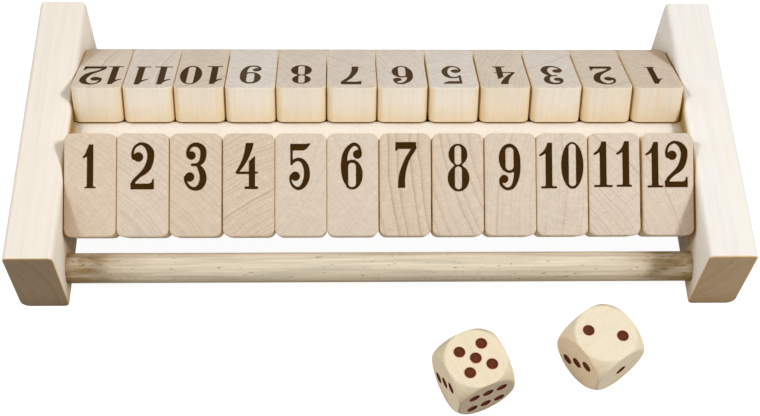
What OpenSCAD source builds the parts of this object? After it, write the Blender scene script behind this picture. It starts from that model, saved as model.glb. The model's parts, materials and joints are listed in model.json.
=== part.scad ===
// Shut the box, the open rack for two players: two facing rows of twelve flip tiles
// on wooden axles, held between two side rails, with a pair of dice in front.
// X runs along the rows, Y from front to back, Z up. The front row faces -Y.
// The origin is on the table, in the middle of the rectangle that the whole set covers.

/* [Side rails] */
// Thickness of each side rail, along X
rail_w = 20; // [16:1:32]
// Height of each side rail
rail_h = 40; // [36:1:60]
// Distance from the middle of a rest dowel to the end of a side rail
rail_end = 12; // [9:0.5:30]
// Radius along a side rail's upper edges and its inner lower edge
rail_round = 2; // [0.5:0.5:5]
// Radius along a side rail's outer lower edge
rail_foot_round = 4; // [0.5:0.5:8]

/* [Tiles] */
// Width of a tile, along the row
tile_w = 20.8; // [16:0.2:30]
// Length of a tile, from its lower end to its upper end
tile_len = 42.5; // [36:0.5:55]
// Thickness of a tile, behind its numbered face
tile_thick = 16; // [13:0.5:18]
// Radius of the four corners of the numbered face
tile_round = 3.2; // [1:0.2:5]
// Free width beside each tile, and between the end tiles and the side rails
tile_gap = 0.8; // [0.4:0.1:2]
// Angle between a standing tile and the table
tile_lean = 28.7; // [24:0.1:34]
// Distance that a standing tile's end passes the edge that it leans on
tile_overhang = 1.1; // [0.5:0.1:3]

/* [Tile axles] */
// Diameter of the axle dowels
axle_d = 8; // [5:0.5:9]
// Free space round the axle in a tile's bore, on the radius
axle_play = 0.25; // [0.1:0.05:0.5]
// Height of the axles above the table
axle_z = 26.2; // [24:0.1:30]
// Distance from a tile's lower end to its axle
axle_from_end = 11; // [8:0.5:14]

/* [Rest dowels] */
// Diameter of the dowels that flipped tiles lie on
rest_d = 12.5; // [8:0.5:14]
// Distance from an axle to its rest dowel, front to back
rest_reach = 18.6; // [17.6:0.1:24]
// Height of the middle of the rest dowels above the table
rest_z = 11.25; // [8:0.25:12]

/* [Centre rail] */
// Thickness of the centre rail that standing tiles lean on
centre_w = 10; // [7:0.5:14]
// Height of the centre rail's underside above the table
centre_lift = 3.4; // [0:0.2:8]
// Gap left between a standing tile and the edge of the centre rail
seat_gap = 0.3; // [0.1:0.1:0.6]

/* [Joinery] */
// Depth of the dowels' sockets in the side rails
socket_depth = 10; // [6:1:13]
// Free space round a glued dowel or pin in its socket, on the radius
glue_gap = 0.05; // [0.02:0.01:0.1]
// Free space between the end of a glued dowel or pin and the bottom of its socket
end_gap = 0.3; // [0.1:0.1:0.8]
// Diameter of the pins that join the centre rail to the side rails
pin_d = 5; // [3:0.5:6]
// Length of these pins, half of it in each rail
pin_len = 20; // [12:1:26]
// Height between the upper and the lower pin of a pair
pin_spread = 16; // [10:1:18]

/* [Dice] */
// Size of a die, from face to face
die_size = 25; // [16:0.5:30]
// Radius of the ball that rounds a die's corners, as a part of its size
die_ball = 0.69; // [0.6:0.01:0.8]
// Diameter of a pip
pip_d = 4.6; // [2.5:0.1:5]
// Depth of a pip
pip_depth = 0.5; // [0.2:0.1:1.2]
// Distance from the middle of a face to a pip's row or column
pip_offset = 5; // [3.5:0.1:5.2]
// Left die, to the right of the middle of the rack
die_left_x = 35.7; // [-20:0.1:50]
// Left die, in front of the side rails' front ends
die_left_front = 36.5; // [30:0.5:60]
// Left die, angle it is turned by
die_left_yaw = 23; // [0:0.5:90]
// Right die, to the right of the middle of the rack
die_right_x = 88; // [85:0.1:120]
// Right die, in front of the side rails' front ends
die_right_front = 26; // [25:0.5:60]
// Right die, angle it is turned by
die_right_yaw = 34.5; // [0:0.5:90]

/* [Hidden] */
$fn = 64;
TILES = 12;
FRONT = 1;
BACK = -1;
LEFT = -1;
RIGHT = 1;

// how far each tile has slid along its axle from an even spacing, in tile gaps, tile 1 first
front_slid = [-0.4, -0.65, -0.75, -0.65, -1, -1.4, -1.4, -1.2, -1.15, -1.35, -1.15, -0.15];
back_slid = [0.15, 0.45, 0.65, 0.95, 1.25, 1.65, 1.5, 1.4, 1.2, 1.15, 0.9, 0.7];

// how far a cutter runs past the face that it opens
over = 1;
maple = [0.94, 0.90, 0.82];
pale_beech = [0.85, 0.78, 0.67];
end_grain = [0.86, 0.79, 0.71];
lime_wood = [0.93, 0.87, 0.75];

// across the rack
tile_pitch = tile_w + tile_gap;
inner_w = TILES * tile_pitch + tile_gap;
dowel_len = inner_w + 2 * (socket_depth - end_gap);
pin_socket = pin_len / 2 + end_gap;

// along the rack: a standing tile's underside runs from below its axle, over the centre rail's edge
tile_reach = (tile_len - axle_from_end) * cos(tile_lean) - tile_overhang;
axle_y = centre_w / 2 + tile_reach + tile_thick / 2 * sin(tile_lean);
rest_y = axle_y + rest_reach;
rail_len = 2 * (rest_y + rail_end);
underside_z = axle_z - tile_thick / 2 * cos(tile_lean);
centre_top = underside_z + tile_reach * tan(tile_lean) - seat_gap / cos(tile_lean);
centre_h = centre_top - centre_lift;
function pin_z(level) = centre_lift + (centre_h + level * pin_spread) / 2;

// the dice, and how far the set reaches in front of the rack's middle
die_half = die_size / 2;
die_ball_r = die_size * die_ball;
die_left_y = -rail_len / 2 - die_left_front;
die_right_y = -rail_len / 2 - die_right_front;
function off_square(yaw) = min(yaw % 90, 90 - yaw % 90);
function corner_r() = min(die_ball_r, die_half * sqrt(2));
function reach(yaw) = corner_r() * cos(max(0, acos(die_half / corner_r()) - off_square(yaw)));
front_y = min(die_left_y - reach(die_left_yaw), die_right_y - reach(die_right_yaw));
rack_y = -(front_y + rail_len / 2) / 2;

function tile_name(row, n) = str(row, "_tile_", n < 10 ? "0" : "", n);

// a rectangle with true round corners, centred
module rounded_rectangle(w, h, r) {
    square([w - 2 * r, h], center = true);
    square([w, h - 2 * r], center = true);
    for (x = [-1, 1], y = [-1, 1])
        translate([x * (w / 2 - r), y * (h / 2 - r)])
            circle(r);
}

// the right side rail's section: a rounded rectangle with a wider round at its outer foot
module rail_section() {
    intersection() {
        rounded_rectangle(rail_w, rail_h, rail_round);
        union() {
            translate([-rail_w / 2, rail_foot_round - rail_h / 2])
                square([rail_w, rail_h]);
            translate([-rail_w / 2, -rail_h / 2])
                square([rail_w - rail_foot_round, rail_h]);
            translate([rail_w / 2 - rail_foot_round, rail_foot_round - rail_h / 2])
                circle(rail_foot_round);
        }
    }
}

// a round bar along X, centred
module bar_x(d, length) {
    rotate([0, 90, 0])
        cylinder(d = d, h = length, center = true);
}

// everything of the rack is drawn about its own middle and moved back by rack_y
module in_rack() {
    translate([0, rack_y, 0])
        children();
}

// a socket drilled into a side rail's inner face, for a bar of diameter d
module socket(d, depth, y, z) {
    translate([inner_w / 2 + depth / 2 - over / 2, y, z])
        bar_x(d + 2 * glue_gap, depth + over);
}

module side_rail(side) {
    color(maple)
        in_rack()
            mirror([side == LEFT ? 1 : 0, 0, 0])
                difference() {
                    translate([inner_w / 2 + rail_w / 2, 0, rail_h / 2])
                        rotate([90, 0, 0])
                            linear_extrude(rail_len, center = true)
                                rail_section();
                    for (row = [FRONT, BACK]) {
                        socket(rest_d, socket_depth, -row * rest_y, rest_z);
                        socket(axle_d, socket_depth, -row * axle_y, axle_z);
                    }
                    for (level = [-1, 1])
                        socket(pin_d, pin_socket, 0, pin_z(level));
                }
}

module centre_rail() {
    color(maple)
        in_rack()
            difference() {
                translate([-inner_w / 2, -centre_w / 2, centre_lift])
                    cube([inner_w, centre_w, centre_h]);
                for (side = [LEFT, RIGHT], level = [-1, 1])
                    translate([side * (inner_w - pin_socket + over) / 2, 0, pin_z(level)])
                        bar_x(pin_d + 2 * glue_gap, pin_socket + over);
            }
}

module rail_pin(side, level) {
    color(pale_beech)
        in_rack()
            translate([side * inner_w / 2, 0, pin_z(level)])
                bar_x(pin_d, pin_len);
}

module rest_dowel(row) {
    color(pale_beech)
        in_rack()
            translate([0, -row * rest_y, rest_z])
                bar_x(rest_d, dowel_len);
}

module axle_dowel(row) {
    color(pale_beech)
        in_rack()
            translate([0, -row * axle_y, axle_z])
                bar_x(axle_d, dowel_len);
}

// a tile about its axle: its length along Y, its numbered face up
module tile_blank() {
    difference() {
        translate([0, tile_len / 2 - axle_from_end, -tile_thick / 2])
            linear_extrude(tile_thick)
                rounded_rectangle(tile_w, tile_len, tile_round);
        bar_x(axle_d + 2 * axle_play, tile_w + 2 * over);
    }
}

// tile n of the front row counts from the left, of the back row from the right
module tile(row, n) {
    slid = (row == FRONT ? front_slid : back_slid)[n - 1] * tile_gap;
    color(end_grain)
        in_rack()
            rotate([0, 0, row == FRONT ? 0 : 180])
                translate([(n - (TILES + 1) / 2) * tile_pitch + slid, -axle_y, axle_z])
                    rotate([tile_lean, 0, 0])
                        tile_blank();
}

// the pips of one face, as [column, row] from the middle, drilled from above
module pips(places) {
    for (p = places)
        translate([p.x * pip_offset, p.y * pip_offset, die_half - pip_depth])
            cylinder(d = pip_d, h = pip_depth + over);
}

// a die about its own middle, with its two up, its one in front and its three on the left
module die_body() {
    one = [[0, 0]];
    two = [[-1, 1], [1, -1]];
    three = concat(one, two);
    four = concat(two, [[1, 1], [-1, -1]]);
    five = concat(one, four);
    six = concat(four, [[-1, 0], [1, 0]]);
    difference() {
        intersection() {
            cube(die_size, center = true);
            sphere(die_ball_r, $fn = 128);
        }
        pips(two);
        rotate([180, 0, 0]) pips(five);
        rotate([90, 0, 0]) pips(one);
        rotate([-90, 0, 0]) rotate([0, 0, 90]) pips(six);
        rotate([0, 90, 0]) pips(four);
        rotate([0, -90, 0]) pips(three);
    }
}

// turn = 0 keeps the two up, turn = 180 puts the five up and the six in front
module die(x, y, yaw, turn) {
    color(lime_wood)
        in_rack()
            translate([x, y, die_half])
                rotate([turn, 0, yaw])
                    die_body();
}

side_rail(LEFT);  // side_rail_left
side_rail(RIGHT);  // side_rail_right
centre_rail();
rail_pin(LEFT, 1);  // rail_pin_left_upper
rail_pin(LEFT, -1);  // rail_pin_left_lower
rail_pin(RIGHT, 1);  // rail_pin_right_upper
rail_pin(RIGHT, -1);  // rail_pin_right_lower
rest_dowel(FRONT);  // rest_dowel_front
rest_dowel(BACK);  // rest_dowel_back
axle_dowel(FRONT);  // axle_dowel_front
axle_dowel(BACK);  // axle_dowel_back
for (n = [1:TILES]) {
    tile(FRONT, n);
    tile(BACK, n);
}
die(die_left_x, die_left_y, die_left_yaw, 180);  // die_left
die(die_right_x, die_right_y, die_right_yaw, 0);  // die_right
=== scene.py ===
"""Shut the box, the open rack for two players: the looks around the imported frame.

Every wooden piece is a closed shell in the piece's own axes a, b and c, in millimetres, moved to
its place by one turn and one shift. c runs along a rail or dowel, or through a tile's thickness.
"""

import json
import math

import bpy
import numpy as np
from mathutils import Matrix, Vector
from mathutils.geometry import delaunay_2d_cdt


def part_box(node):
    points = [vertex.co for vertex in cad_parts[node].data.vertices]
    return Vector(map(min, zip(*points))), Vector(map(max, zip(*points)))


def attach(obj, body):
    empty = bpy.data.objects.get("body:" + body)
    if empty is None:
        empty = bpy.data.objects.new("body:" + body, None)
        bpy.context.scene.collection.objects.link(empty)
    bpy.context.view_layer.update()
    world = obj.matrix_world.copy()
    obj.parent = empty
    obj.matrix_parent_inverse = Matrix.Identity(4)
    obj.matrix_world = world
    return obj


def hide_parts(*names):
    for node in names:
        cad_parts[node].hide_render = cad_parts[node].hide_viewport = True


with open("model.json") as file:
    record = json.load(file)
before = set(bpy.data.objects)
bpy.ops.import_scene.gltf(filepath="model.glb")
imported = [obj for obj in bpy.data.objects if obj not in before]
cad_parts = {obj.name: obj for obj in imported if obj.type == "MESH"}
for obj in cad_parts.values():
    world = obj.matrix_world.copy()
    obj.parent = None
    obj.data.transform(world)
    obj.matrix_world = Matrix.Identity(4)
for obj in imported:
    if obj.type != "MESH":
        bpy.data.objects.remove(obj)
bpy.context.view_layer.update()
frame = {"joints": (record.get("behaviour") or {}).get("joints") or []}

MM = 0.001
WELD = 1e-3  # points of two patches closer than this, in millimetres, become one
SAME_POINT = 1e-7  # points of one net closer than this would become one
TINY = 1e-9  # keeps a division from zero
SHARP_FROM = 35.0  # an edge that turns by more degrees than this is shaded sharp

# ---- sizes in millimetres; lengths and places come from the frame ----
RAIL_ROUND, RAIL_FOOT = 2.0, 4.0  # long edges of a side rail; its outer lower edge
RAIL_EASE, CENTRE_EASE, DOWEL_EASE = 0.8, 0.25, 0.5
TILE_W, TILE_LEN, TILE_THICK = 21.1, 42.5, 16.0
TILE_ROUND = 3.2  # the four corners of the numbered face
TILE_EASE, TILE_BACK_EASE = 0.55, 0.25
TILE_WEAR_AND_LIGHT = 0.4  # how far its edges and corners are browned: partly by heat and handling, partly as painted warm light
TILE_LEAN = math.radians(28.7)
AXLE_FROM_END = 11.0
BORE_R = 4.25
GLUE_GAP = 0.15  # the dark line round a dowel where it enters its socket
SOCKET_DEPTH = 10.0
PIN_SOCKET = 10.3
ROUND_STEPS = 48  # corners of a circle
TILES = 12

# the numbers: height of their feet above the axle, and the grid that they are traced on, as its
# spacing, half its width and the heights above the axle where it begins and ends
BASELINE = 8.4
TRACE_STEP, TRACE_HALF, TRACE_LOW, TRACE_HIGH = 0.245, 9.8, 6.4, 29.0
# the lines round a figure, as (distance from its outline, height, how burnt): where the scorch
# fades out, the lip of the burnt recess, and the foot of its sloping wall
BURN_LINES = [(0.3, 0.0, 0.0), (-0.04, 0.0, 0.6), (-0.16, -0.2, 1.0)]

# the pips: depth, distance from a face's middle to a row, width of the stained rim, and a pip's
# profile from its floor's edge to its lip, as (radius, depth)
PIP_DEPTH, PIP_OFFSET, PIP_BLEED = 0.5, 4.8, 0.45
PIP_PROFILE = [(1.9, PIP_DEPTH), (2.1, PIP_DEPTH - 0.08), (2.15, 0.12), (2.25, 0.0)]
PIP_LIP = PIP_PROFILE[-1][0]
DIE_COLS, DIE_ROWS = 96, 11  # the net of one face's rounded border

# each die's turn over and yaw in degrees, the radius of the ball that rounds its corners, over how
# many millimetres the ball blends into the flats, the axis of its grain (0 is a, 1 is b), how warm
# its wood is and how pale its end grain is
DICE = {"die_left": (180, 23, 17.45, 0.6, 1, 0.1, 0),
        "die_right": (0, 34.5, 17.4, 0.5, 0, 0.0, 1.0)}

# the table top: half its width, and two places from the rack's middle, towards the back above
# zero; behind the first, where little sky is in sight, the table is painted dark as shade, and in
# front of the second it is plain white
TABLE_HALF = 6000.0
SHADE_ENDS = (-27.0, -31.0)


def box_mm(node):
    """Lowest and highest corner of a CAD node, in millimetres."""
    return np.array([list(corner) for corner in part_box(node)]) / MM


# ---- shells ----

class Shell:
    """A closed surface made of patches. Each patch has its points, its faces and the number of its
    material, paint. Each face corner has two marks: edge, 1 on an eased edge, and burn, 1 where
    heat or stain has browned the wood."""

    def __init__(self):
        self.patches, self.count = [], 0

    def add(self, points, faces, edge=0.0, burn=0.0, smooth=True, paint=0):
        points = np.asarray(points, float).reshape(-1, 3)
        marks = np.zeros((len(points), 2))
        marks[:, 0], marks[:, 1] = edge, burn
        self.patches.append((points, faces + self.count, marks[faces], smooth, paint))
        self.count += len(points)

    def absorb(self, other, turn):
        """Takes in another shell's patches, turned."""
        for points, faces, marks, smooth, paint in other.patches:
            self.patches.append((points @ turn.T, faces + self.count, marks, smooth, paint))
        self.count += other.count


def quads(rows, cols, skip=()):
    """Faces of a grid whose columns close a loop, anticlockwise, and whose rows climb. Those in
    skip are left out."""
    i, j = np.meshgrid(np.arange(rows - 1), np.arange(cols), indexing="ij")
    keep = np.ones(i.shape, bool)
    for row, col in skip:
        keep[row, col] = False
    i, j = i[keep], j[keep]
    k = (j + 1) % cols
    return np.stack([i * cols + j, i * cols + k, (i + 1) * cols + k, (i + 1) * cols + j], 1)


def net(points, edges):
    """Constrained Delaunay triangles over points that keep the edges, as point numbers."""
    pairs = [tuple(edge) for edge in edges.tolist()]
    found = delaunay_2d_cdt([Vector(point) for point in points], pairs, [], 0, SAME_POINT)
    source = np.array([given[0] if given else -1 for given in found[3]])
    return source[np.array(found[2])]


def loop_edges(first, count):
    """Edges of a closed loop of points numbered from first."""
    i = np.arange(count)
    return np.stack([first + i, first + (i + 1) % count], 1)


def face(shell, axis, side, at, outline, holes=(), paint=0):
    """Flat face across an axis, whose outline is convex, with round holes (centre, radius)."""
    rings = [outline] + [circle(*hole) for hole in holes]
    starts = np.cumsum([0] + [len(r) for r in rings])
    flat = np.concatenate(rings)
    edges = np.concatenate([loop_edges(s, len(r)) for s, r in zip(starts, rings)])
    triangles = net(flat, edges)
    for centre, radius in holes:
        middle = flat[triangles].mean(1) - centre
        triangles = triangles[np.hypot(middle[:, 0], middle[:, 1]) > radius]
    points = np.empty((len(flat), 3))
    points[:, axis] = at
    points[:, (axis + 1) % 3], points[:, (axis + 2) % 3] = flat[:, 0], flat[:, 1]
    facing = triangles if side > 0 else triangles[:, ::-1]
    shell.add(points, facing, smooth=False, paint=paint)


def circle(centre, radius):
    """Points at even angles round a centre."""
    t = np.arange(ROUND_STEPS) * 2 * np.pi / ROUND_STEPS
    return np.stack([centre[0] + radius * np.cos(t), centre[1] + radius * np.sin(t)], 1)


def hole(shell, axis, low, high, centre, radius, floor=0):
    """Wall of a round hole along an axis, facing its middle, with a floor at one end: floor is
    the side, 1 or -1, that the floor faces, or 0 for a hole right through."""
    ring = circle(centre, radius)
    rows = np.empty((2, len(ring), 3))
    rows[:, :, axis] = [[low], [high]]
    rows[:, :, (axis + 1) % 3], rows[:, :, (axis + 2) % 3] = ring[:, 0], ring[:, 1]
    shell.add(rows, quads(2, len(ring))[:, ::-1])
    if floor:
        face(shell, axis, floor, low if floor > 0 else high, ring)


def rounded(half_a, half_b, radii, inset=0.0, steps=5):
    """Rounded rectangle, anticlockwise from its right side: four quarter circles, pulled in by
    inset. The flat right side closes the loop."""
    t = np.linspace(0, np.pi / 2, steps + 1)
    arcs = []
    for k, (sign_a, sign_b, r) in enumerate(zip((1, -1, -1, 1), (1, 1, -1, -1), radii)):
        turn = t + k * np.pi / 2
        arcs.append(np.stack([sign_a * (half_a - r) + (r - inset) * np.cos(turn),
                              sign_b * (half_b - r) + (r - inset) * np.sin(turn)], 1))
    return np.concatenate(arcs)


def eased_bar(shell, section, length, ease, skip=(), steps=4, wear_and_light_by_side=None):
    """A section carried along c. At its ends it is pulled in along quarter circles of radius ease,
    or of the low and the high end's: inset = ease (1 - cos t) at a distance ease (1 - sin t) from
    the end. The edge mark, which gives the edge its honey tint, partly wear and partly painted warm
    light, is greatest halfway round. handled(outward, mark) may change it, and outward is the way
    that the section's side faces at each of its points."""
    t = np.linspace(0, np.pi / 2, steps + 1)
    low, high = np.broadcast_to(ease, 2)
    rows = [(low * (1 - math.sin(a)) - length / 2, low * (1 - math.cos(a))) for a in t[::-1]]
    rows += [(length / 2 - high * (1 - math.sin(a)), high * (1 - math.cos(a))) for a in t]
    rings = [section(inset) for _, inset in rows]
    cols = len(rings[0])
    points = np.empty((len(rows), cols, 3))
    points[:, :, :2] = rings
    points[:, :, 2] = np.array([h for h, _ in rows])[:, None]
    faces = quads(len(rows), cols, skip=[(steps, col) for col in skip])
    bare = np.sin(2 * np.concatenate([t[::-1], t]))[:, None] * np.ones(cols)
    if wear_and_light_by_side:
        bare = wear_and_light_by_side((rings[steps] - rings[-1]) / high, bare)
    shell.add(points, faces, edge=bare.ravel())
    return rings[0], rings[-1]


def build(name, shell, turn, shift, wood, finishes):
    """Welds the patches into one mesh, drops corners that fell together, and puts it in its place.
    wood is the axis along its grain (2 is c), the pith's place in the other two, the ring gap, how
    strongly rings show, how warm the wood is, how grey or pale its end grain is, and where along
    the tree the piece starts. Each point carries wood_mm, its place in the tree, across from the
    pith and along the grain; wood_look, which is gap, strength and warmth; and wood_cut, the end
    grain's. Each face corner carries wood_face: how squarely it cuts the grain, edge and burn."""
    points = np.concatenate([patch[0] for patch in shell.patches])
    rounded_off = np.round(points / WELD)
    _, first, into = np.unique(rounded_off, axis=0, return_index=True, return_inverse=True)
    points, into = points[first], into.ravel()
    faces, marks, smooth, paint = [], [], [], []
    for _, corners, mark, is_smooth, slot in shell.patches:
        ring = into[corners]
        kept = ring != np.roll(ring, -1, axis=1)
        for size in range(3, ring.shape[1] + 1):
            rows = kept.sum(1) == size
            faces += ring[rows][kept[rows]].reshape(-1, size).tolist()
            marks.append(mark[rows][kept[rows]])
            smooth += [is_smooth] * int(rows.sum())
            paint += [slot] * int(rows.sum())
    mesh = bpy.data.meshes.new(name)
    mesh.from_pydata((points @ turn.T + shift) * MM, [], faces)
    mesh.polygons.foreach_set("use_smooth", smooth)
    mesh.polygons.foreach_set("material_index", paint)
    mesh.set_sharp_from_angle(angle=math.radians(SHARP_FROM))
    mesh.update()

    along, pith, gap, strength, tone, cut, start = wood
    order = [(along + 1) % 3, (along + 2) % 3, along]
    place = points[:, order] - np.array([pith[0], pith[1], -start])
    look = np.broadcast_to([gap, strength, tone], (len(points), 3))
    normals = np.empty(len(mesh.loops) * 3, np.float32)
    mesh.corner_normals.foreach_get("vector", normals)
    across = (normals.reshape(-1, 3) @ turn[:, along]) ** 2
    corner = np.column_stack([across, np.concatenate(marks)])
    for title, kind, domain, field, values in (
            ("wood_mm", "FLOAT_VECTOR", "POINT", "vector", place),
            ("wood_look", "FLOAT_VECTOR", "POINT", "vector", look),
            ("wood_cut", "FLOAT", "POINT", "value", np.full(len(points), cut)),
            ("wood_face", "FLOAT_VECTOR", "CORNER", "vector", corner)):
        mesh.attributes.new(title, kind, domain).data.foreach_set(field, values.ravel())

    piece = bpy.data.objects.new(name, mesh)
    bpy.context.scene.collection.objects.link(piece)
    for finish in finishes:
        mesh.materials.append(finish)
    return piece


def stand_for(piece, node, body):
    """Puts a piece in the place of its CAD node, on its body."""
    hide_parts(node)
    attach(piece, body)


# ---- signed distances for the numbers, in millimetres, below zero inside ----

def oval(x, y, cx, cy, rx, ry):
    """Ellipse. With q the distance from its middle in half-widths, the distance to its edge is
    about q (q - 1) over the length of q's own slope."""
    dx, dy = (x - cx) / rx, (y - cy) / ry
    q = np.hypot(dx, dy) + TINY
    return q * (q - 1) / (np.hypot(dx / rx, dy / ry) + TINY)


def ball(x, y, cx, cy, r):
    """Circle: distance from its middle less its radius."""
    return np.hypot(x - cx, y - cy) - r


def slab(x, y, x0, x1, y0, y1, r=0.15):
    """Rectangle from corner to corner with corners of radius r: distance to the smaller
    rectangle inside it, less r."""
    dx = np.abs(x - (x0 + x1) / 2) - (x1 - x0) / 2 + r
    dy = np.abs(y - (y0 + y1) / 2) - (y1 - y0) / 2 + r
    return np.hypot(np.maximum(dx, 0), np.maximum(dy, 0)) + np.minimum(np.maximum(dx, dy), 0) - r


def stroke(x, y, *stations):
    """Pen stroke through stations (x, y, half-width): a Catmull-Rom curve through them, and the
    distance to its nearest chord less the half-width there."""
    p = np.array(stations, float)
    p = np.vstack([2 * p[0] - p[1], p, 2 * p[-1] - p[-2]])
    t = np.linspace(0, 1, 9)[:, None]
    a, b, c, d = (p[i:len(p) - 3 + i, None] for i in range(4))
    path = (b + (c - a) * t / 2 + (a - 2.5 * b + 2 * c - d / 2) * t**2
            + (1.5 * (b - c) + (d - a) / 2) * t**3).reshape(-1, 3)
    path = path[np.r_[True, np.hypot(*np.diff(path[:, :2], axis=0).T) > TINY]]
    near = np.full(x.shape, np.inf)
    for s, e in zip(path[:-1], path[1:]):
        step = e - s
        k = np.clip(((x - s[0]) * step[0] + (y - s[1]) * step[1]) / (step[0]**2 + step[1]**2), 0, 1)
        reach = np.hypot(x - s[0] - k * step[0], y - s[1] - k * step[1])
        near = np.minimum(near, reach - s[2] - k * step[2])
    return near


def join(*shapes, soft=0.0):
    """Union: the least of the distances, with inner corners filled over soft millimetres."""
    out = shapes[0]
    for s in shapes[1:]:
        h = np.maximum(soft - np.abs(out - s), 0) / soft if soft else 0
        out = np.minimum(out, s) - h * h * soft / 4
    return out


# ---- the figures, a condensed slab-serif face 19 mm tall; y is up from the baseline ----
# Each is the signed distance to its strokes, slabs, balls and ovals joined, less their counters.

def zero(x, y):
    return np.maximum(oval(x, y, 0, 9.65, 4.65, 9.75), -slab(x, y, -1.45, 1.45, 1.05, 18.5, 1.45))


def one(x, y, left=3.9, right=3.9, half=1.4, top=19.5, tip=-3.5, thick=0.95):
    stem = np.maximum(slab(x, y, -half - 0.05, half, 0.5, top), (-4.2 * x + y - top - 2.5) / 4.3)
    flag = stroke(x, y, (0.2, top - 0.9, 0.8), (-0.7, top - 2.5, 0.75), (0.6 * tip, top - 4.2, 0.6),
                  (tip, top - 5.2, 0.5))
    foot = slab(x, y, -left, right, 0.5, 0.5 + thick, 0.3)
    return np.maximum(join(stem, flag, foot, soft=0.5), np.abs(y - (top + 0.5) / 2) - (top - 0.5) / 2)


def narrow_one(x, y):
    return one(x, y, left=2.2, right=2.4, half=1.3, top=18.5, tip=-2.6, thick=0.7)


def short_footed_one(x, y):
    return one(x, y, left=3.3, right=3.3)


def clipped_one(x, y):
    return one(x, y, left=4.0, right=2.4)


def two(x, y):
    bowl = stroke(x, y, (-3.6, 12.9, 0.8), (-4.0, 14.6, 0.6), (-3.3, 17.1, 0.55), (-1.6, 18.5, 0.6),
                  (-0.1, 18.7, 0.65), (1.9, 17.6, 1.1), (3.2, 15.6, 1.45), (3.4, 13.6, 1.45),
                  (3.0, 11.2, 1.45), (2.1, 8.9, 1.4), (0.7, 7.2, 1.15), (-1.1, 5.7, 0.85),
                  (-3.0, 3.9, 0.8), (-4.05, 2.2, 0.8))
    foot = join(slab(x, y, -4.85, 4.75, 0, 2.45), slab(x, y, 3.95, 4.75, 0, 4.35), soft=1.8)
    foot = np.maximum(foot, slab(x, y, -4.85, 4.75, 0, 4.35))
    return join(bowl, ball(x, y, -1.65, 13.3, 2.0), foot, soft=0.3)


def three(x, y):
    upper = stroke(x, y, (-3.2, 13.6, 0.7), (-3.4, 15.3, 0.7), (-2.4, 17.5, 0.75), (-0.4, 18.4, 0.9),
                   (1.6, 17.8, 1.1), (2.85, 16.2, 1.3), (2.95, 13.8, 1.3), (2.2, 11.4, 1.1),
                   (0.6, 10.3, 0.65), (-1.6, 10.1, 0.5))
    lower = stroke(x, y, (-1.6, 10.1, 0.5), (0.4, 9.9, 0.6), (1.9, 8.3, 1.15), (2.8, 6.0, 1.4),
                   (2.8, 3.6, 1.45), (1.7, 1.2, 1.25), (-0.4, 0.25, 0.8), (-2.5, 0.9, 0.65),
                   (-4.0, 2.8, 0.6), (-4.3, 4.9, 0.7))
    return join(upper, lower, ball(x, y, -1.9, 13.9, 1.8), ball(x, y, -2.6, 5.1, 1.95), soft=0.3)


def four(x, y):
    slant = stroke(x, y, (1.1, 19.6, 1.65), (0.9, 18.0, 1.6), (0.2, 15.2, 1.35), (-1.0, 12.0, 1.1),
                   (-2.7, 9.0, 0.8), (-4.3, 6.9, 0.45))
    slant = np.maximum(slant, y - 19.1)
    stem = np.maximum(slab(x, y, 0.7, 3.3, 0.5, 14.2), (-x + 1.02 * y - 11.0) / 1.43)
    bar = join(slab(x, y, -4.2, 2.0, 6.2, 7.3, 0.3), slab(x, y, 1.0, 4.5, 6.5, 7.25, 0.35))
    return join(slant, bar, stem, slab(x, y, -1.1, 4.6, 0.05, 1.2, 0.55), soft=0.4)


def five(x, y):
    bowl = stroke(x, y, (-3.4, 10.3, 0.4), (-2.5, 11.6, 0.65), (-0.7, 12.25, 0.75), (1.1, 11.5, 0.95),
                  (2.3, 9.5, 1.15), (2.8, 6.9, 1.25), (2.5, 4.0, 1.25), (1.2, 1.4, 1.0),
                  (-0.7, 0.3, 0.7), (-2.7, 1.2, 0.6), (-3.9, 3.4, 0.5), (-3.7, 5.4, 0.6))
    tip = stroke(x, y, (1.3, 17.3, 1.35), (2.5, 17.8, 0.95), (3.6, 18.5, 0.45), (4.4, 18.9, 0.15))
    flag = np.maximum(join(slab(x, y, -4.0, 1.6, 15.9, 18.7), tip), y - 18.9)
    stem = slab(x, y, -4.0, -2.95, 9.9, 18.6, 0.4)
    return join(bowl, flag, stem, ball(x, y, -1.95, 5.35, 1.95), soft=0.3)


def six(x, y):
    back = stroke(x, y, (3.6, 15.0, 0.6), (2.8, 17.5, 0.65), (1.1, 18.5, 0.75), (-0.9, 17.4, 0.9),
                  (-2.5, 14.9, 1.1), (-3.15, 11.5, 1.3), (-3.1, 7.5, 1.35), (-2.4, 4.0, 1.3),
                  (-1.2, 1.6, 0.9), (0.1, 0.4, 0.5))
    bowl = join(np.maximum(oval(x, y, 0.15, 6.0, 4.35, 6.2), -x - 2.4), back)
    counter = slab(x, y, -1.45, 1.65, 0.9, 10.8, 1.5)
    return join(np.maximum(bowl, -counter), ball(x, y, 2.3, 14.3, 1.85), soft=0.3)


def seven(x, y):
    leg = stroke(x, y, (3.4, 17.2, 1.0), (2.9, 16.0, 0.95), (0.7, 12.6, 1.0), (-0.75, 8.8, 1.15),
                 (-1.5, 6.0, 1.35), (-1.8, 3.0, 1.45), (-1.85, -0.6, 1.6))
    serif = np.maximum(slab(x, y, -4.35, -3.3, 15.7, 17.0, 0.1), (x - y + 19.6) / 1.41)
    return join(np.maximum(leg, 0.45 - y), slab(x, y, -4.35, 4.3, 16.5, 19.4), serif, soft=0.3)


def eight(x, y):
    outer = join(oval(x, y, -0.1, 14.2, 3.95, 4.5), oval(x, y, 0.1, 4.4, 4.5, 5.5), soft=1.2)
    upper, lower = slab(x, y, -1.45, 1.2, 10.0, 17.8, 1.3), slab(x, y, -1.35, 1.45, -0.1, 9.2, 1.4)
    return np.maximum(outer, -np.minimum(upper, lower))


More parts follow.
